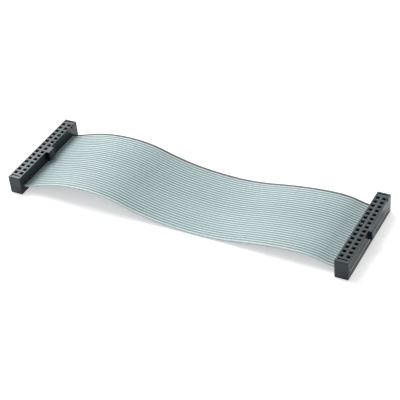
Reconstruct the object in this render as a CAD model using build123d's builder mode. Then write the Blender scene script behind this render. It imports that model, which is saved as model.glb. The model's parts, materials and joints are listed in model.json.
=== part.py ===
"""Flat ribbon cable with a two-row insulation-displacement socket crimped on each end.

The cable stands on the backs of its two sockets, with their mating faces up.  X runs
along the ribbon, Y along the sockets and Z is up.  The origin is on the floor, in the
middle of the whole cable.  All sizes are in millimetres.
"""
from build123d import *
from math import radians, tan
import os

os.makedirs("parts", exist_ok=True)

# ---- driving dimensions: contacts and ribbon -------------------------------------------
ways_per_row = 15            # pin holes in each of a socket's two rows
pitch = 2.00                 # from one pin hole to the next, along and across a socket
insulation_diameter = 0.75   # round insulation lobe over each wire
web_thickness = 0.30         # flat web of insulation between two lobes
wire_diameter = 0.30         # stranded wire, drawn as its round outline
wire_clearance = 0.01        # between a wire and its insulation, on the radius
ribbon_height = 2.00         # middle of the ribbon above the floor, inside a socket

# ---- driving dimensions: sockets -------------------------------------------------------
socket_spacing = 108.0       # from one socket's middle to the other's
end_distance = 2.90          # from the last pin hole's middle to the socket's end face
socket_width = 4.20
socket_height = 6.10
parting_height = 2.20        # where cover and body meet, beyond the ribbon's edges
parting_gap = 0.02
ribbon_fit = 0.02            # between the ribbon and the plastic that clamps it
trim_inset = 0.05            # how far a trimmed ribbon end stays inside the socket's wall
corner_radius = 0.20         # upright edges of both mouldings
body_chamfer = 0.15          # edges of the mating face
cover_chamfer = 0.20         # edges of the back
parting_chamfer = 0.07       # edges along the line where cover and body meet

# Pin holes and the cavities that hold the contacts
hole_size = 0.90
hole_mouth = 1.30            # wide end of the tapered lead-in
lead_in_depth = 0.20
cavity_width = 1.00          # along X
cavity_length = 1.40         # along Y
cavity_roof = 0.90           # plastic above a cavity, pierced by the pin hole

# Polarizing key and the mark of the first way, both on the wall that faces +X
key_depth = 1.20
key_length = 3.00
key_height = 2.90
key_chamfer = 0.20
mark_width = 0.90
mark_height = 1.30
mark_depth = 0.20

# Latch arms of the cover, and the slots in the body that they stand in
arm_width = 2.80             # along X
arm_thickness = 0.60         # along Y
arm_wall = 0.65              # body wall between a slot and the end face
arm_clearance = 0.05
arm_recess = 0.20            # from an arm's tip to the mating face
barb_depth = 0.20
barb_height = 0.55
barb_drop = 0.45             # from the arm's tip to the top of its barb

# Stamped fork contacts
contact_thickness = 0.25
shoulder_clearance = 0.05    # between a contact's shoulders and the cavity's ends
blade_width = 1.10           # over the two tines that straddle a wire
blade_clearance = 0.02       # between a tine and the wire, or the slit insulation
blade_reach = 0.65           # from the wire's middle down to the points of the tines
blade_point = 0.20           # height of the pointed ends
pocket_clearance = 0.05      # round the tines, in the cover
pocket_depth = 0.12          # room in the cover under the points
shoulder_height = 0.65       # wide part of the contact, above the ribbon
beam_width = 0.26
beam_tip_drop = 1.05         # from the mating face down to the tips of the beams
pinch_drop = 1.50            # from the mating face down to where the beams close
pin_gap = 0.42               # between the beams where they close
beam_flare = 0.12            # how far each beam opens above that place

# ---- what follows from them ------------------------------------------------------------
wire_count = 2 * ways_per_row
wire_pitch = pitch / 2
row_length = (ways_per_row - 1) * pitch
socket_length = row_length + 2 * end_distance
channel_width = (wire_count - 1) * wire_pitch + 2 * max(
    insulation_diameter / 2 + ribbon_fit, blade_width / 2 + pocket_clearance
)
channel_roof = ribbon_height + insulation_diameter / 2 + ribbon_fit
web_bottom = ribbon_height - web_thickness / 2 - ribbon_fit
blade_tip = ribbon_height - blade_reach
arm_outer = socket_length / 2 - arm_wall - arm_clearance
arm_inner = arm_outer - arm_thickness
arm_tip = socket_height - arm_recess
barb_bottom = arm_tip - barb_drop - barb_height
cavity_top = socket_height - cavity_roof
left_x = -(socket_spacing + key_depth) / 2
right_x = left_x + socket_spacing
ribbon_start = left_x - socket_width / 2 + trim_inset
ribbon_end = right_x + socket_width / 2 - trim_inset

# The ribbon's middle line from the side: distance from the left socket's middle, and
# height.  It leaves one socket level, rises to a hump, lies on the floor past the middle
# and rises again before the other socket, which the last points follow.
lowest = insulation_diameter / 2
route = [
    (ribbon_start - left_x, ribbon_height),
    (3.0, ribbon_height),
    (15.5, 6.1),
    (30.0, 6.4),
    (43.0, 2.1),
    (56.0, lowest),
    (68.0, lowest),
    (83.0, 3.1),
    (socket_spacing - 11.0, 4.0),
    (socket_spacing - 4.2, ribbon_height),
    (ribbon_end - left_x, ribbon_height),
]


def bend_radii(points):
    """Largest arc that each corner's two runs leave room for."""
    corners = [Vector(x, z) for x, z in points]
    radii = []
    for before, corner, after in zip(corners, corners[1:], corners[2:]):
        run_in, run_out = corner - before, after - corner
        half_turn = radians(run_in.get_angle(run_out)) / 2
        radii.append(0.25 * min(run_in.length, run_out.length) / tan(half_turn))
    return radii


def wire_y(wire):
    """Place of a wire across the ribbon."""
    return (wire - (wire_count - 1) / 2) * wire_pitch


def contact_x(wire):
    """Wires go in turn to the row at -X and the row at +X."""
    return -pitch / 2 if wire % 2 == 0 else pitch / 2


def save(part, name):
    """Label a finished piece and write it."""
    part.label = name
    export_step(part, f"parts/{name}.step")


# ---- ribbon ----------------------------------------------------------------------------
radii = bend_radii(route)
print("bend radii", [round(radius, 1) for radius in radii])

with BuildLine(Plane.XZ.move(Location((left_x, 0, 0)))) as ribbon_line:
    FilletPolyline(*route, radius=radii)
ribbon_path = ribbon_line.wires()[0]
print("ribbon length", round(ribbon_path.length, 2))

contact_places = [(contact_x(wire), wire_y(wire)) for wire in range(wire_count)]

# One extrusion of lobes and webs, slit for the tines.  The round bores are simplified to
# six flat sides round each wire.
with BuildPart() as ribbon_insulation:
    with BuildSketch(Plane.YZ.offset(ribbon_start)):
        with Locations((0, ribbon_height)):
            Rectangle((wire_count - 1) * wire_pitch, web_thickness)
            with GridLocations(wire_pitch, 0, wire_count, 1):
                Circle(insulation_diameter / 2)
            with GridLocations(wire_pitch, 0, wire_count, 1):
                RegularPolygon(
                    wire_diameter / 2 + wire_clearance,
                    side_count=6,
                    major_radius=False,
                    rotation=30,
                    mode=Mode.SUBTRACT,
                )
    sweep(path=ribbon_path)
    with BuildSketch(Plane.XY.offset(ribbon_height)):
        with Locations((left_x, 0), (right_x, 0)):
            with Locations(*contact_places):
                Rectangle(
                    contact_thickness + 2 * blade_clearance,
                    blade_width + 2 * blade_clearance,
                )
    extrude(amount=insulation_diameter, both=True, mode=Mode.SUBTRACT)
save(ribbon_insulation.part, "ribbon_insulation")

# The stranded wires, each along the same line in its own bore
for wire in range(wire_count):
    with BuildPart() as conductor:
        with BuildSketch(Plane.YZ.offset(ribbon_start)):
            with Locations((wire_y(wire), ribbon_height)):
                Circle(wire_diameter / 2)
        sweep(path=ribbon_path)
    save(conductor.part, f"conductor_{wire + 1:02d}")

# ---- socket body -----------------------------------------------------------------------
body_bottom = parting_height + parting_gap

with BuildPart() as socket_body:
    with BuildSketch(Plane.XY.offset(body_bottom)):
        Rectangle(socket_width, socket_length)
    extrude(amount=socket_height - body_bottom)
    fillet(socket_body.edges().filter_by(Axis.Z), corner_radius)
    chamfer(socket_body.edges().group_by(Axis.Z)[-1], body_chamfer)
    chamfer(socket_body.edges().group_by(Axis.Z)[0], parting_chamfer)
    # Polarizing key, flush with the mating face
    with BuildSketch(Plane.XY.offset(socket_height - key_height)):
        with Locations((socket_width / 2 - body_chamfer, 0)):
            Rectangle(key_depth + body_chamfer, key_length, align=(Align.MIN, Align.CENTER))
    extrude(amount=key_height)
    key_face = socket_body.faces().sort_by(Axis.X)[-1]
    chamfer(key_face.edges(), key_chamfer)
    # Room for the ribbon
    with BuildSketch(Plane.XY.offset(body_bottom)):
        Rectangle(socket_width, channel_width)
    extrude(amount=channel_roof - body_bottom, mode=Mode.SUBTRACT)
    # Contact cavities, open to the ribbon
    with BuildSketch(Plane.XY.offset(body_bottom)):
        with GridLocations(pitch, pitch, 2, ways_per_row):
            Rectangle(cavity_width, cavity_length)
    extrude(amount=cavity_top - body_bottom, mode=Mode.SUBTRACT)
    # Pin holes through the roof of each cavity, with a tapered lead-in
    with BuildSketch(Plane.XY.offset(cavity_top)):
        with GridLocations(pitch, pitch, 2, ways_per_row):
            Rectangle(hole_size, hole_size)
    extrude(amount=cavity_roof, mode=Mode.SUBTRACT)
    with BuildSketch(Plane.XY.offset(socket_height)):
        with GridLocations(pitch, pitch, 2, ways_per_row):
            Rectangle(hole_mouth, hole_mouth)
    extrude(amount=-lead_in_depth, taper=45, mode=Mode.SUBTRACT)
    # Latch slots through both ends, stepped so that the barbs hook over a ledge
    slot_width = arm_width + 2 * arm_clearance
    slot_outer = arm_outer + arm_clearance
    slot_inner = arm_inner - arm_clearance
    with BuildSketch(Plane.XY.offset(body_bottom)):
        with Locations((0, (slot_outer + slot_inner) / 2), (0, -(slot_outer + slot_inner) / 2)):
            Rectangle(slot_width, slot_outer - slot_inner)
    extrude(amount=socket_height - body_bottom, mode=Mode.SUBTRACT)
    with BuildSketch(Plane.XY.offset(barb_bottom - parting_gap)):
        with Locations((0, slot_inner), (0, -slot_inner)):
            Rectangle(slot_width, 2 * barb_depth)
    extrude(amount=socket_height - barb_bottom + parting_gap, mode=Mode.SUBTRACT)
    # Recessed triangle that marks the first way
    with BuildSketch(Plane.YZ.offset(socket_width / 2)):
        with BuildLine():
            Polyline(
                (row_length / 2 - mark_width / 2, socket_height),
                (row_length / 2 + mark_width / 2, socket_height),
                (row_length / 2, socket_height - mark_height),
                close=True,
            )
        make_face()
    extrude(amount=-mark_depth, mode=Mode.SUBTRACT)

# ---- socket cover ----------------------------------------------------------------------
with BuildPart() as socket_cover:
    with BuildSketch(Plane.XY):
        Rectangle(socket_width, socket_length)
    extrude(amount=parting_height)
    fillet(socket_cover.edges().filter_by(Axis.Z), corner_radius)
    chamfer(socket_cover.edges().group_by(Axis.Z)[0], cover_chamfer)
    chamfer(socket_cover.edges().group_by(Axis.Z)[-1], parting_chamfer)
    # Channel for the ribbon, with a groove under each lobe
    with BuildSketch(Plane.XY.offset(web_bottom)):
        Rectangle(socket_width, channel_width)
    extrude(amount=parting_height - web_bottom, mode=Mode.SUBTRACT)
    with BuildSketch(Plane.YZ.offset(-socket_width / 2)):
        with Locations((0, ribbon_height)):
            with GridLocations(wire_pitch, 0, wire_count, 1):
                Circle(insulation_diameter / 2 + ribbon_fit)
    extrude(amount=socket_width, mode=Mode.SUBTRACT)
    # Pockets for the points of the tines
    with BuildSketch(Plane.XY.offset(blade_tip - pocket_depth)):
        with Locations(*contact_places):
            Rectangle(
                contact_thickness + 2 * pocket_clearance,
                blade_width + 2 * pocket_clearance,
            )
    extrude(amount=parting_height, mode=Mode.SUBTRACT)
    # Latch arms with their barbs, which point at the middle of the socket
    for end in (-1, 1):
        with BuildSketch(Plane.YZ.offset(-arm_width / 2)):
            with BuildLine():
                Polyline(
                    (end * arm_outer, parting_height / 2),
                    (end * arm_outer, arm_tip),
                    (end * arm_inner, arm_tip),
                    (end * arm_inner, arm_tip - barb_drop),
                    (end * (arm_inner - barb_depth + arm_clearance), barb_bottom + barb_height / 2),
                    (end * (arm_inner - barb_depth + arm_clearance), barb_bottom),
                    (end * arm_inner, barb_bottom),
                    (end * arm_inner, parting_height / 2),
                    close=True,
                )
            make_face()
        extrude(amount=arm_width)

# ---- contacts --------------------------------------------------------------------------
blade_top = ribbon_height + insulation_diameter / 2
blade_offset = -wire_pitch / 2   # each wire lies half a wire pitch to one side of its pin hole
shoulder_top = blade_top + shoulder_height
shoulder_width = cavity_length - 2 * shoulder_clearance
wire_slot = wire_diameter + 2 * blade_clearance
slot_top = ribbon_height + wire_slot / 2
tine_width = (blade_width - wire_slot) / 2
pinch = socket_height - pinch_drop
beam_tip = socket_height - beam_tip_drop

with BuildPart() as contact:
    with BuildSketch(Plane.YZ):
        # Shoulders that hold the contact in its cavity
        with Locations((0, blade_top)):
            Rectangle(shoulder_width, shoulder_height, align=(Align.CENTER, Align.MIN))
        # Blade with two pointed tines and a round-ended slot between them
        with BuildLine():
            Polyline(
                (blade_offset - blade_width / 2, blade_top),
                (blade_offset - blade_width / 2, blade_tip + blade_point),
                (blade_offset - (blade_width - tine_width) / 2, blade_tip),
                (blade_offset - wire_slot / 2, blade_tip + blade_point),
                (blade_offset + wire_slot / 2, blade_tip + blade_point),
                (blade_offset + (blade_width - tine_width) / 2, blade_tip),
                (blade_offset + blade_width / 2, blade_tip + blade_point),
                (blade_offset + blade_width / 2, blade_top),
                close=True,
            )
        make_face()
        with Locations((blade_offset, ribbon_height)):
            Circle(wire_slot / 2, mode=Mode.SUBTRACT)
            Rectangle(
                wire_slot,
                blade_reach,
                align=(Align.CENTER, Align.MAX),
                mode=Mode.SUBTRACT,
            )
        # Two beams that lean in to pinch a pin and open again at their tips
        for side in (-1, 1):
            with BuildLine():
                Polyline(
                    (side * shoulder_width / 2, shoulder_top),
                    (side * (pin_gap / 2 + beam_width), pinch),
                    (side * (pin_gap / 2 + beam_flare + beam_width / 2), beam_tip),
                    (side * (pin_gap / 2 + beam_flare), beam_tip),
                    (side * pin_gap / 2, pinch),
                    (side * (shoulder_width / 2 - beam_width), shoulder_top),
                    close=True,
                )
            make_face()
    extrude(amount=contact_thickness / 2, both=True)

# ---- both sockets ----------------------------------------------------------------------
# The row at +X holds the same contacts turned half round, so its blades reach the wires
# between those of the row at -X.
rows = {"row_a": (-pitch / 2, 0), "row_b": (pitch / 2, 180)}

for side, centre in (("left", left_x), ("right", right_x)):
    save(Pos(centre, 0, 0) * socket_body.part, f"{side}_socket_body")
    save(Pos(centre, 0, 0) * socket_cover.part, f"{side}_socket_cover")
    for row, (row_x, turn) in rows.items():
        with BuildPart() as contact_row:
            with Locations((centre + row_x, 0, 0)):
                with GridLocations(0, pitch, 1, ways_per_row):
                    add(contact.part, rotation=(0, 0, turn))
        save(contact_row.part, f"{side}_socket_contacts_{row}")
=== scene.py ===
"""Looks of the ribbon cable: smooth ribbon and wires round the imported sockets, and a white studio."""

import json
import math

import bmesh
import bpy
from mathutils import Matrix, Vector


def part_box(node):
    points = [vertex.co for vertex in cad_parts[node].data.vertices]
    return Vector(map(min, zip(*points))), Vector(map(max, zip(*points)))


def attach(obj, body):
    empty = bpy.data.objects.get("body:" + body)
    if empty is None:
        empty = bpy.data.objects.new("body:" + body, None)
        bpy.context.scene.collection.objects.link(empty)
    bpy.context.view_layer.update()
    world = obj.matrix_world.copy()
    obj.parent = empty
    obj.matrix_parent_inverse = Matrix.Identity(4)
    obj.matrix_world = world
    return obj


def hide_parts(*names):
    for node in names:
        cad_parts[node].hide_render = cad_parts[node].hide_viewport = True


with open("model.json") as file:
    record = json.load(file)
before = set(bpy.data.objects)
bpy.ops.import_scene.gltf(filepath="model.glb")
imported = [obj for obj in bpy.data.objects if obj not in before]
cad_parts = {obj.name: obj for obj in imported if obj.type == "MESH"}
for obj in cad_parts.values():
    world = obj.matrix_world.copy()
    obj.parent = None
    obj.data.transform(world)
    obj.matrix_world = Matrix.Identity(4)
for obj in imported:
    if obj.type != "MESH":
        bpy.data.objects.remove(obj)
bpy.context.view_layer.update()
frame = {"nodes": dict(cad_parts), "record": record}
MM = 0.001


# ---- sizes, from the frame -------------------------------------------------------------
def middle_x(node):
    low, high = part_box(node)
    return (low.x + high.x) / 2


LEFT_X = middle_x("left_socket_cover")
RIGHT_X = middle_x("right_socket_cover")
RIBBON_LOW, RIBBON_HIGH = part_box("ribbon_insulation")
WIRES = sorted(name for name in frame["nodes"] if name.startswith("conductor_"))
WIRE_BOXES = [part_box(name) for name in WIRES]
WIRE_Y = [(low.y + high.y) / 2 for low, high in WIRE_BOXES]
WIRE_RADIUS = (WIRE_BOXES[0][1].y - WIRE_BOXES[0][0].y) / 2
WIRE_PITCH = WIRE_Y[1] - WIRE_Y[0]
LOBE_RADIUS = RIBBON_HIGH.y - WIRE_Y[-1]
WEB_HALF = 0.15 * MM
RIBBON_HEIGHT = 2.0 * MM
SPACING = RIGHT_X - LEFT_X

# The ribbon's middle line from the side, as in the model: distance from the left socket's
# middle, and height.  One more point inside each socket keeps the ribbon flat where it is
# clamped.
ROUTE = [
    (RIBBON_LOW.x - LEFT_X, RIBBON_HEIGHT),
    (1.8 * MM, RIBBON_HEIGHT),
    (3.0 * MM, RIBBON_HEIGHT),
    (15.5 * MM, 6.1 * MM),
    (30.0 * MM, 6.4 * MM),
    (43.0 * MM, 2.1 * MM),
    (56.0 * MM, LOBE_RADIUS),
    (68.0 * MM, LOBE_RADIUS),
    (83.0 * MM, 3.1 * MM),
    (SPACING - 11.0 * MM, 4.0 * MM),
    (SPACING - 4.2 * MM, RIBBON_HEIGHT),
    (SPACING - 1.4 * MM, RIBBON_HEIGHT),
    (RIBBON_HIGH.x - LEFT_X, RIBBON_HEIGHT),
]


# ---- node helpers ----------------------------------------------------------------------
class Material:
    """A Principled material and short ways to add the nodes that this scene needs."""

    def __init__(self, name, **settings):
        self.material = bpy.data.materials.new(name)
        self.material.use_nodes = True
        self.nodes = self.material.node_tree.nodes
        self.shader = self.nodes["Principled BSDF"]
        self.place = self.add("ShaderNodeTexCoord").outputs["Object"]
        for socket, value in settings.items():
            self.shader.inputs[socket.replace("_", " ")].default_value = value

    def add(self, kind, **values):
        node = self.nodes.new(kind)
        for name, value in values.items():
            setattr(node, name, value)
        return node

    def link(self, output, target):
        self.material.node_tree.links.new(output, target)

    def noise(self, scale, detail=4.0, stretch=(1, 1, 1), rough=0.5):
        """Noise over the object's own metres, squeezed along some axes."""
        mapping = self.add("ShaderNodeMapping")
        mapping.inputs["Scale"].default_value = stretch
        texture = self.add("ShaderNodeTexNoise")
        texture.inputs["Scale"].default_value = scale
        texture.inputs["Detail"].default_value = detail
        texture.inputs["Roughness"].default_value = rough
        self.link(self.place, mapping.inputs["Vector"])
        self.link(mapping.outputs["Vector"], texture.inputs["Vector"])
        return texture.outputs["Fac"]

    def ramp(self, value, stops):
        """Colours at places from 0 to 1 along a value."""
        node = self.add("ShaderNodeValToRGB")
        elements = node.color_ramp.elements
        while len(elements) < len(stops):
            elements.new(1.0)
        for element, (place, colour) in zip(elements, stops):
            element.position = place
            element.color = (*colour, 1)
        self.link(value, node.inputs["Fac"])
        return node.outputs["Color"]

    def span(self, value, low, high, to_low=0.0, to_high=1.0):
        node = self.add("ShaderNodeMapRange")
        names = ("From Min", "From Max", "To Min", "To Max")
        for name, number in zip(names, (low, high, to_low, to_high)):
            node.inputs[name].default_value = number
        self.link(value, node.inputs["Value"])
        return node.outputs["Result"]

    def math(self, operation, first, second=None):
        node = self.add("ShaderNodeMath", operation=operation)
        for target, value in zip(node.inputs, (first, second)):
            if value is None:
                continue
            if isinstance(value, (int, float)):
                target.default_value = value
            else:
                self.link(value, target)
        return node.outputs["Value"]

    def mix(self, factor, first, second, blend="MIX"):
        node = self.add("ShaderNodeMix", data_type="RGBA", blend_type=blend)
        inputs = [node.inputs[name] for name in ("Factor", "A", "B")]
        for target, value in zip(inputs, (factor, first, second)):
            if isinstance(value, (int, float)):
                target.default_value = value
            elif isinstance(value, tuple):
                target.default_value = (*value, 1)
            else:
                self.link(value, target)
        return next(out for out in node.outputs if out.type == "RGBA")

    def axis(self, name):
        node = self.add("ShaderNodeSeparateXYZ")
        self.link(self.place, node.inputs["Vector"])
        return node.outputs[name]

    def bump(self, height, strength, distance):
        node = self.add("ShaderNodeBump")
        node.inputs["Strength"].default_value = strength
        node.inputs["Distance"].default_value = distance
        self.link(height, node.inputs["Height"])
        self.link(node.outputs["Normal"], self.shader.inputs["Normal"])

    def colour(self, output):
        self.link(output, self.shader.inputs["Base Color"])

    def roughness(self, output):
        self.link(output, self.shader.inputs["Roughness"])


# ---- materials -------------------------------------------------------------------------
def moulded_plastic(name):
    """Black glass-filled plastic: a fine spark-eroded grain under a soft gloss."""
    plastic = Material(name, IOR=1.50, Specular_Tint=(0.80, 0.93, 1.0, 1.0))
    cloud = plastic.noise(260, 3)
    plastic.colour(plastic.ramp(cloud, [(0.3, (0.004, 0.0055, 0.0065)), (0.7, (0.008, 0.0100, 0.0115))]))
    grain = plastic.noise(5200, 2)
    plastic.roughness(plastic.span(cloud, 0.3, 0.7, 0.20, 0.30))
    plastic.bump(grain, 0.25, 0.00002)
    return plastic.material


def ribbon_vinyl(name):
    """Grey flexible vinyl with painted shade in the grooves between the lobes, and a dark stripe over the
    edge wire.
    """
    vinyl = Material(name, IOR=1.53, Coat_Weight=0.15, Coat_Roughness=0.25)
    across = vinyl.axis("Y")
    inside = vinyl.math("MAXIMUM", across, WIRE_Y[0])
    phase = vinyl.math("DIVIDE", vinyl.math("SUBTRACT", inside, WIRE_Y[0]), WIRE_PITCH)
    to_crest = vinyl.math("PINGPONG", vinyl.math("ADD", phase, 100.0), 0.5)
    # Painted shade: the colour is lightest on each lobe's crest and darkest in the grooves and webs
    # between the lobes.
    painted_groove_shade = vinyl.ramp(
        to_crest,
        [(0.0, (0.480, 0.585, 0.585)), (0.16, (0.425, 0.530, 0.535)), (0.38, (0.135, 0.195, 0.210))],
    )
    smears = vinyl.noise(70, 3, (0.25, 1, 1))
    # The painted groove shade, mixed with random smears of a flat grey.
    groove_shade_with_smears = vinyl.mix(vinyl.span(smears, 0.35, 0.65, 0.0, 0.35), painted_groove_shade, (0.37, 0.48, 0.49))
    stripe = vinyl.span(across, WIRE_Y[-1] - 0.50 * WIRE_PITCH, WIRE_Y[-1] - 0.42 * WIRE_PITCH)
    printed = vinyl.mix(vinyl.noise(900, 3, (0.2, 1, 1)), (0.075, 0.085, 0.088), (0.14, 0.155, 0.16))
    vinyl.colour(vinyl.mix(stripe, groove_shade_with_smears, printed))
    vinyl.roughness(vinyl.span(vinyl.noise(420, 3, (0.3, 1, 1)), 0.3, 0.7, 0.34, 0.48))
    vinyl.bump(vinyl.noise(1500, 3, (0.15, 1, 1)), 0.12, 0.00004)
    return vinyl.material


def tinned_wire(name):
    """Bright tinned strands, twisted along the wire, with painted shade in the grooves between them."""
    wire = Material(name, Metallic=1.0)
    along, across = wire.axis("X"), wire.axis("Y")
    slant = wire.math("ADD", wire.math("MULTIPLY", along, 9000.0), wire.math("MULTIPLY", across, 30000.0))
    twist = wire.math("SINE", slant)
    shade = wire.span(twist, -1.0, 1.0)
    # Painted shade: the base colour darkens in the grooves between the twisted strands.
    wire.colour(wire.ramp(shade, [(0.0, (0.42, 0.41, 0.40)), (1.0, (0.78, 0.77, 0.75))]))
    wire.roughness(wire.span(wire.noise(2500), 0.3, 0.7, 0.25, 0.42))
    wire.bump(shade, 0.5, 0.00003)
    return wire.material


def contact_metal(name):
    """Plated strip with the fine lines of the rolling mill."""
    metal = Material(name, Metallic=1.0)
    lines = metal.noise(3000, 2, (1, 1, 0.08))
    metal.colour(metal.ramp(lines, [(0.3, (0.55, 0.43, 0.20)), (0.7, (0.80, 0.66, 0.36))]))
    metal.roughness(metal.span(lines, 0.3, 0.7, 0.24, 0.40))
    metal.bump(lines, 0.15, 0.00001)
    return metal.material


MATERIALS = {
    "socket_plastic": moulded_plastic("black_plastic"),
    "ribbon_pvc": ribbon_vinyl("grey_vinyl"),
    "tinned_wire": tinned_wire("tinned_strands"),
    "contact_metal": contact_metal("plated_strip"),
}


def dress(piece, slot):
    piece.data.materials.clear()
    piece.data.materials.append(MATERIALS[slot])


for part in frame["record"]["subparts"]:
    dress(frame["nodes"][part["node"]], part["material_slot"])


# ---- ribbon and wires ------------------------------------------------------------------
def route_points():
    """Points along the smooth line of the route, read from its spline."""
    curve = bpy.data.curves.new("route", "CURVE")
    curve.dimensions = "3D"
    curve.resolution_u = 12
    spline = curve.splines.new("NURBS")
    spline.points.add(len(ROUTE) - 1)
    for point, (x, z) in zip(spline.points, ROUTE):
        point.co = (LEFT_X + x, 0, z, 1)
    spline.order_u = 3
    spline.use_endpoint_u = True
    holder = bpy.data.objects.new("route", curve)
    bpy.context.scene.collection.objects.link(holder)
    bpy.context.view_layer.update()
    mesh = bpy.data.meshes.new_from_object(holder)
    points = [vertex.co.copy() for vertex in mesh.vertices]
    bpy.data.objects.remove(holder)
    bpy.data.meshes.remove(mesh)
    bpy.data.curves.remove(curve)
    return points


def path_frames(points):
    """Each point with the upward normal of the line there, in the XZ plane."""
    frames = []
    for index, point in enumerate(points):
        before = points[max(index - 1, 0)]
        after = points[min(index + 1, len(points) - 1)]
        along = (after - before).normalized()
        frames.append((point, Vector((-along.z, 0, along.x))))
    return frames


def sweep(name, section, frames):
    """A closed mesh of a section, given as (across, up) pairs, along the frames."""
    mesh = bmesh.new()
    rings = []
    for point, up in frames:
        rings.append([mesh.verts.new(point + Vector((0, y, 0)) + up * z) for y, z in section])
    count = len(section)
    for ring, following in zip(rings, rings[1:]):
        for i in range(count):
            j = (i + 1) % count
            mesh.faces.new((ring[i], ring[j], following[j], following[i]))
    for ring, last in ((rings[0], False), (rings[-1], True)):
        mesh.faces.new(ring if last else ring[::-1])
    bmesh.ops.recalc_face_normals(mesh, faces=mesh.faces)
    data = bpy.data.meshes.new(name)
    mesh.to_mesh(data)
    mesh.free()
    for polygon in data.polygons:
        polygon.use_smooth = len(polygon.vertices) == 4
    piece = bpy.data.objects.new(name, data)
    bpy.context.scene.collection.objects.link(piece)
    return piece


def lobe_arc(y, start, stop, steps):
    """Part of a lobe's outline, by angle from the +Y side."""
    angles = [start + (stop - start) * i / steps for i in range(steps + 1)]
    return [(y + LOBE_RADIUS * math.cos(a), LOBE_RADIUS * math.sin(a)) for a in angles]


def ribbon_section(steps=8):
    """Outline of all the lobes and the webs between them, once round."""
    meet = math.asin(WEB_HALF / LOBE_RADIUS)
    top = []
    for wire, y in enumerate(WIRE_Y):
        start = math.pi if wire == 0 else math.pi - meet
        stop = 0.0 if wire == len(WIRE_Y) - 1 else meet
        top += lobe_arc(y, start, stop, steps)
    bottom = [(y, -z) for y, z in reversed(top[1:-1])]
    return top + bottom


LINE = route_points()
RIBBON_FRAMES = path_frames(LINE)
ribbon = sweep("ribbon", ribbon_section(), RIBBON_FRAMES)
ribbon.data.set_sharp_from_angle(angle=math.radians(40))
dress(ribbon, "ribbon_pvc")
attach(ribbon, "root")
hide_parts("ribbon_insulation")


def wire_frames():
    """The ribbon's frames, with the wire's ends a hair past the trimmed insulation."""
    proud = Vector((0.012 * MM, 0, 0))
    frames = list(RIBBON_FRAMES)
    frames[0] = (frames[0][0] - proud, frames[0][1])
    frames[-1] = (frames[-1][0] + proud, frames[-1][1])
    return frames


for node, wire_y in zip(WIRES, WIRE_Y):
    sides = 12
    circle = [
        (
            wire_y + WIRE_RADIUS * math.cos(2 * math.pi * i / sides),
            WIRE_RADIUS * math.sin(2 * math.pi * i / sides),
        )
        for i in range(sides)
    ]
    wire = sweep(node.replace("conductor", "wire"), circle[::-1], wire_frames())
    dress(wire, "tinned_wire")
    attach(wire, "root")
    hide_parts(node)


# ---- studio ----------------------------------------------------------------------------
def make_floor():
    size = 3.0
    data = bpy.data.meshes.new("floor")
    corners = [(-size, -size, 0), (size, -size, 0), (size, size, 0), (-size, size, 0)]
    data.from_pydata([Vector(c) for c in corners], [], [(0, 1, 2, 3)])
    floor = bpy.data.objects.new("floor", data)
    bpy.context.scene.collection.objects.link(floor)
    paper = Material("paper", Roughness=0.9)
    paper.shader.inputs["Specular IOR Level"].default_value = 0.1
    paper.colour(paper.ramp(paper.noise(3), [(0.0, (0.86, 0.86, 0.86)), (1.0, (0.88, 0.88, 0.88))]))
    paper.shader.inputs["Emission Color"].default_value = (1, 1, 1, 1)
    seen = paper.add("ShaderNodeLightPath")
    direct = paper.math("MULTIPLY", seen.outputs["Is Camera Ray"], FLOOR_LIFT)
    mirrored = paper.math("MULTIPLY", seen.outputs["Is Glossy Ray"], MIRRORED_FLOOR_LIFT)
    paper.link(paper.math("ADD", direct, mirrored), paper.shader.inputs["Emission Strength"])
    data.materials.append(paper.material)


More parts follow.
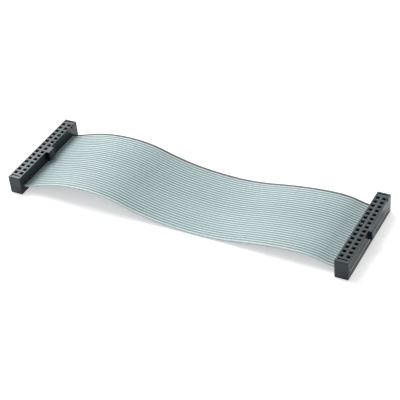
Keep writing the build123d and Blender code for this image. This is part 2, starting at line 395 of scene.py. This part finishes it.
def make_world():
    world = bpy.data.worlds.new("studio")
    bpy.context.scene.world = world
    world.use_nodes = True
    nodes, links = world.node_tree.nodes, world.node_tree.links
    background = nodes["Background"]
    background.inputs["Color"].default_value = (1, 1, 1, 1)
    path = nodes.new("ShaderNodeLightPath")
    seen = nodes.new("ShaderNodeMath")
    seen.operation = "MAXIMUM"
    links.new(path.outputs["Is Camera Ray"], seen.inputs[0])
    links.new(path.outputs["Is Glossy Ray"], seen.inputs[1])
    strength = nodes.new("ShaderNodeMapRange")
    strength.inputs["To Min"].default_value = WORLD_LIGHT
    strength.inputs["To Max"].default_value = 1.0
    links.new(seen.outputs["Value"], strength.inputs["Value"])
    links.new(strength.outputs["Result"], background.inputs["Strength"])


def softbox(name, direction, distance, size, power):
    """A square lamp that looks at the middle of the cable."""
    data = bpy.data.lights.new(name, "AREA")
    data.shape = "SQUARE"
    data.size = size
    data.energy = power
    data.specular_factor = 0.3
    lamp = bpy.data.objects.new(name, data)
    towards = Vector(direction).normalized()
    lamp.location = towards * distance
    lamp.rotation_euler = towards.to_track_quat("Z", "Y").to_euler()
    bpy.context.scene.collection.objects.link(lamp)


FLOOR_LIFT = 0.45
MIRRORED_FLOOR_LIFT = 0.15
WORLD_LIGHT = 0.52
make_floor()
make_world()
softbox("left_softbox", (-0.75, 0.30, 0.85), 0.9, 0.7, 9.0)
softbox("back_softbox", (-0.28, 0.66, 0.66), 1.0, 0.8, 2.5)

# ---- camera ----------------------------------------------------------------------------
VIEW_TARGET = Vector((2.44, -2.53, 3.05)) * MM
VIEW_DISTANCE = 375.9 * MM
ELEVATION, AZIMUTH, ROLL = (math.radians(a) for a in (37.27, 30.28, -5.49))
LENS = 113.1


def make_camera():
    back = Vector(
        (
            math.sin(AZIMUTH) * math.cos(ELEVATION),
            -math.cos(AZIMUTH) * math.cos(ELEVATION),
            math.sin(ELEVATION),
        )
    )
    level = Vector((math.cos(AZIMUTH), math.sin(AZIMUTH), 0))
    upright = back.cross(level)
    right = math.cos(ROLL) * level + math.sin(ROLL) * upright
    up = -math.sin(ROLL) * level + math.cos(ROLL) * upright
    data = bpy.data.cameras.new("camera")
    data.lens = LENS
    data.sensor_width = 36.0
    data.clip_start = 0.01
    camera = bpy.data.objects.new("camera", data)
    turn = Matrix((right, up, back)).transposed().to_4x4()
    camera.matrix_world = Matrix.Translation(VIEW_TARGET + back * VIEW_DISTANCE) @ turn
    bpy.context.scene.collection.objects.link(camera)
    bpy.context.scene.camera = camera


make_camera()
bpy.context.scene.view_settings.view_transform = "Standard"
